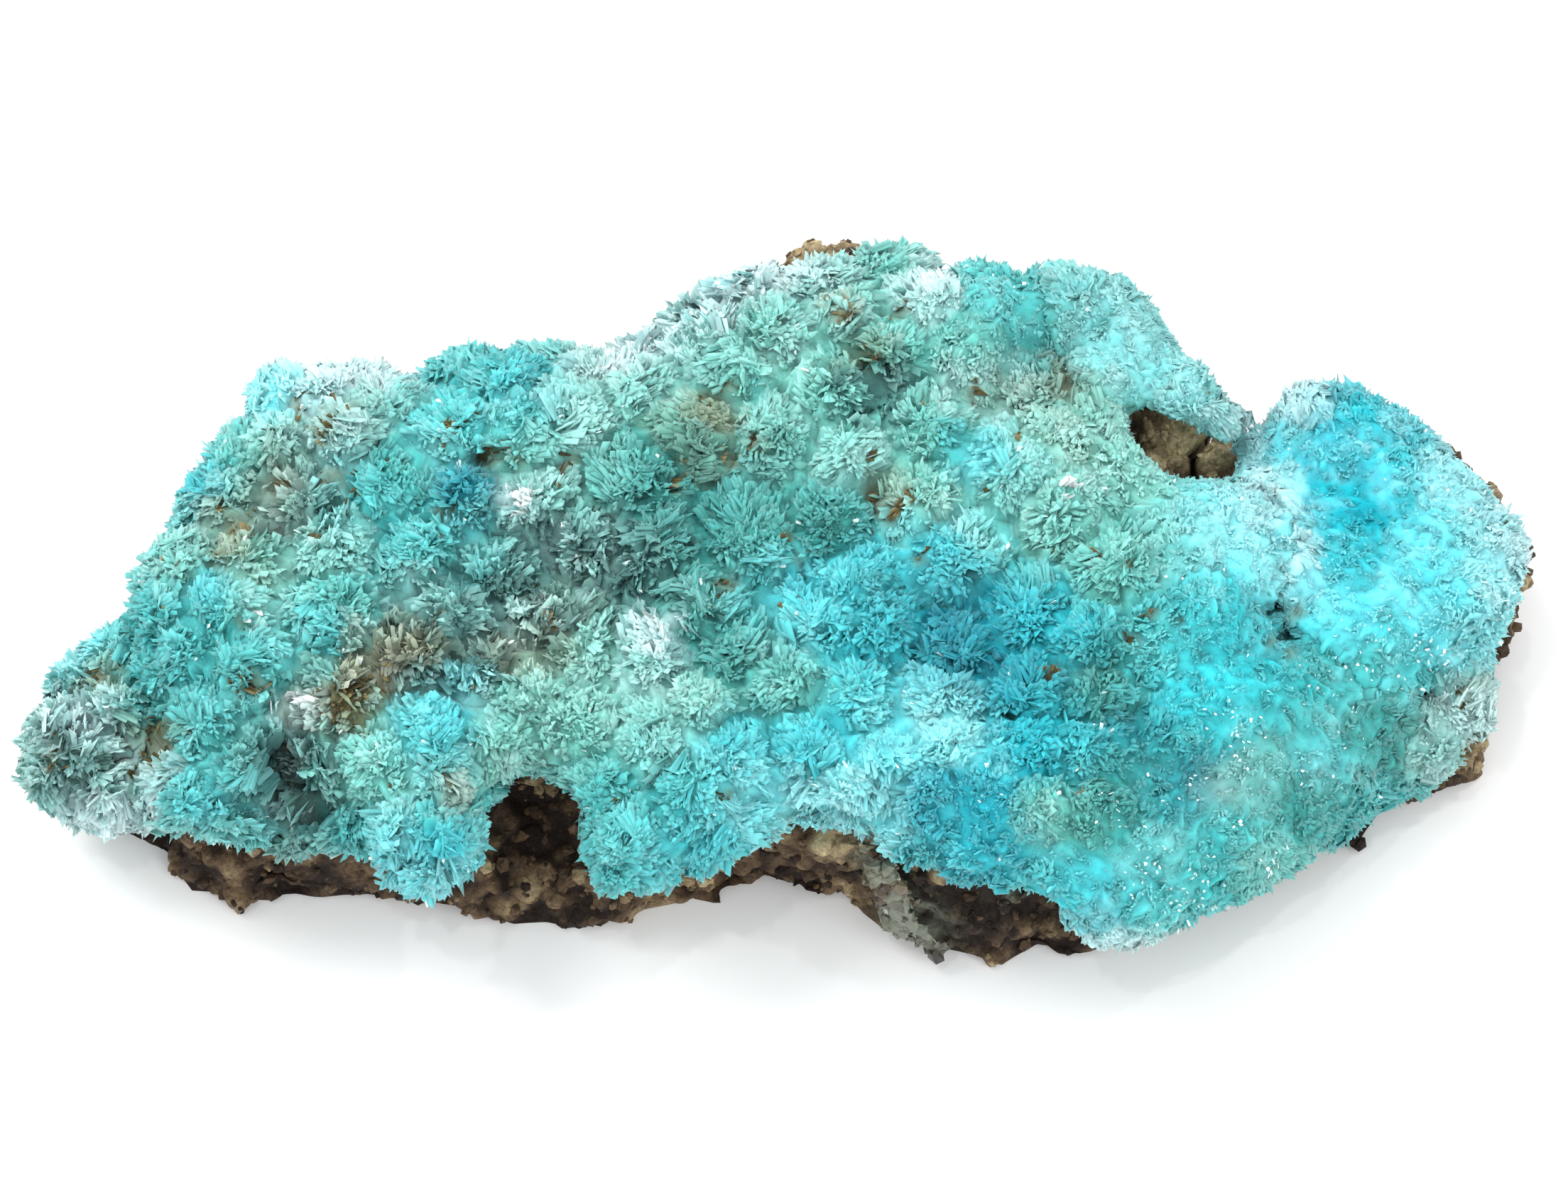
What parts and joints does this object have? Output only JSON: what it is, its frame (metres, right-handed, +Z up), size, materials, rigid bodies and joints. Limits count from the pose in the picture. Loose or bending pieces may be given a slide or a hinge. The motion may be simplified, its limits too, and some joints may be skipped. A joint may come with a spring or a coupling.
{
  "type": "mineral specimen",
  "caption": "Blue aragonite crust of fine radiating needles on a broken brown stone; a display specimen that lies on its flat back.",
  "frame": {"origin": "centre of the overall box in X and Y, at the flat back of the stone that it rests on", "axes": "+X along the long side, towards the smooth right-hand lobe; +Y away from the lower edge, where the stone shows; +Z up, out of the crust's face"},
  "size_m": [0.0942, 0.0496, 0.0179],
  "materials": {
    "matrix": "rough, earthy brown stone",
    "main_crust": "sparkling blue-green needles",
    "upper_crust": "sparkling blue-green needles",
    "right_lobe": "fine sparkling sky-blue needles",
    "left_cluster": "coarse clear grey-blue needles",
    "lower_right_crust": "pale glassy crust",
    "glassy_drops": "clear grey-green drops"
  },
  "bodies": {
    "root": {"matrix": "matrix", "main_crust": "main_crust", "upper_crust": "upper_crust", "right_lobe": "right_lobe", "left_cluster": "left_cluster", "lower_right_crust": "lower_right_crust", "glassy_drops": "glassy_drops"}
  },
  "joints": []
}
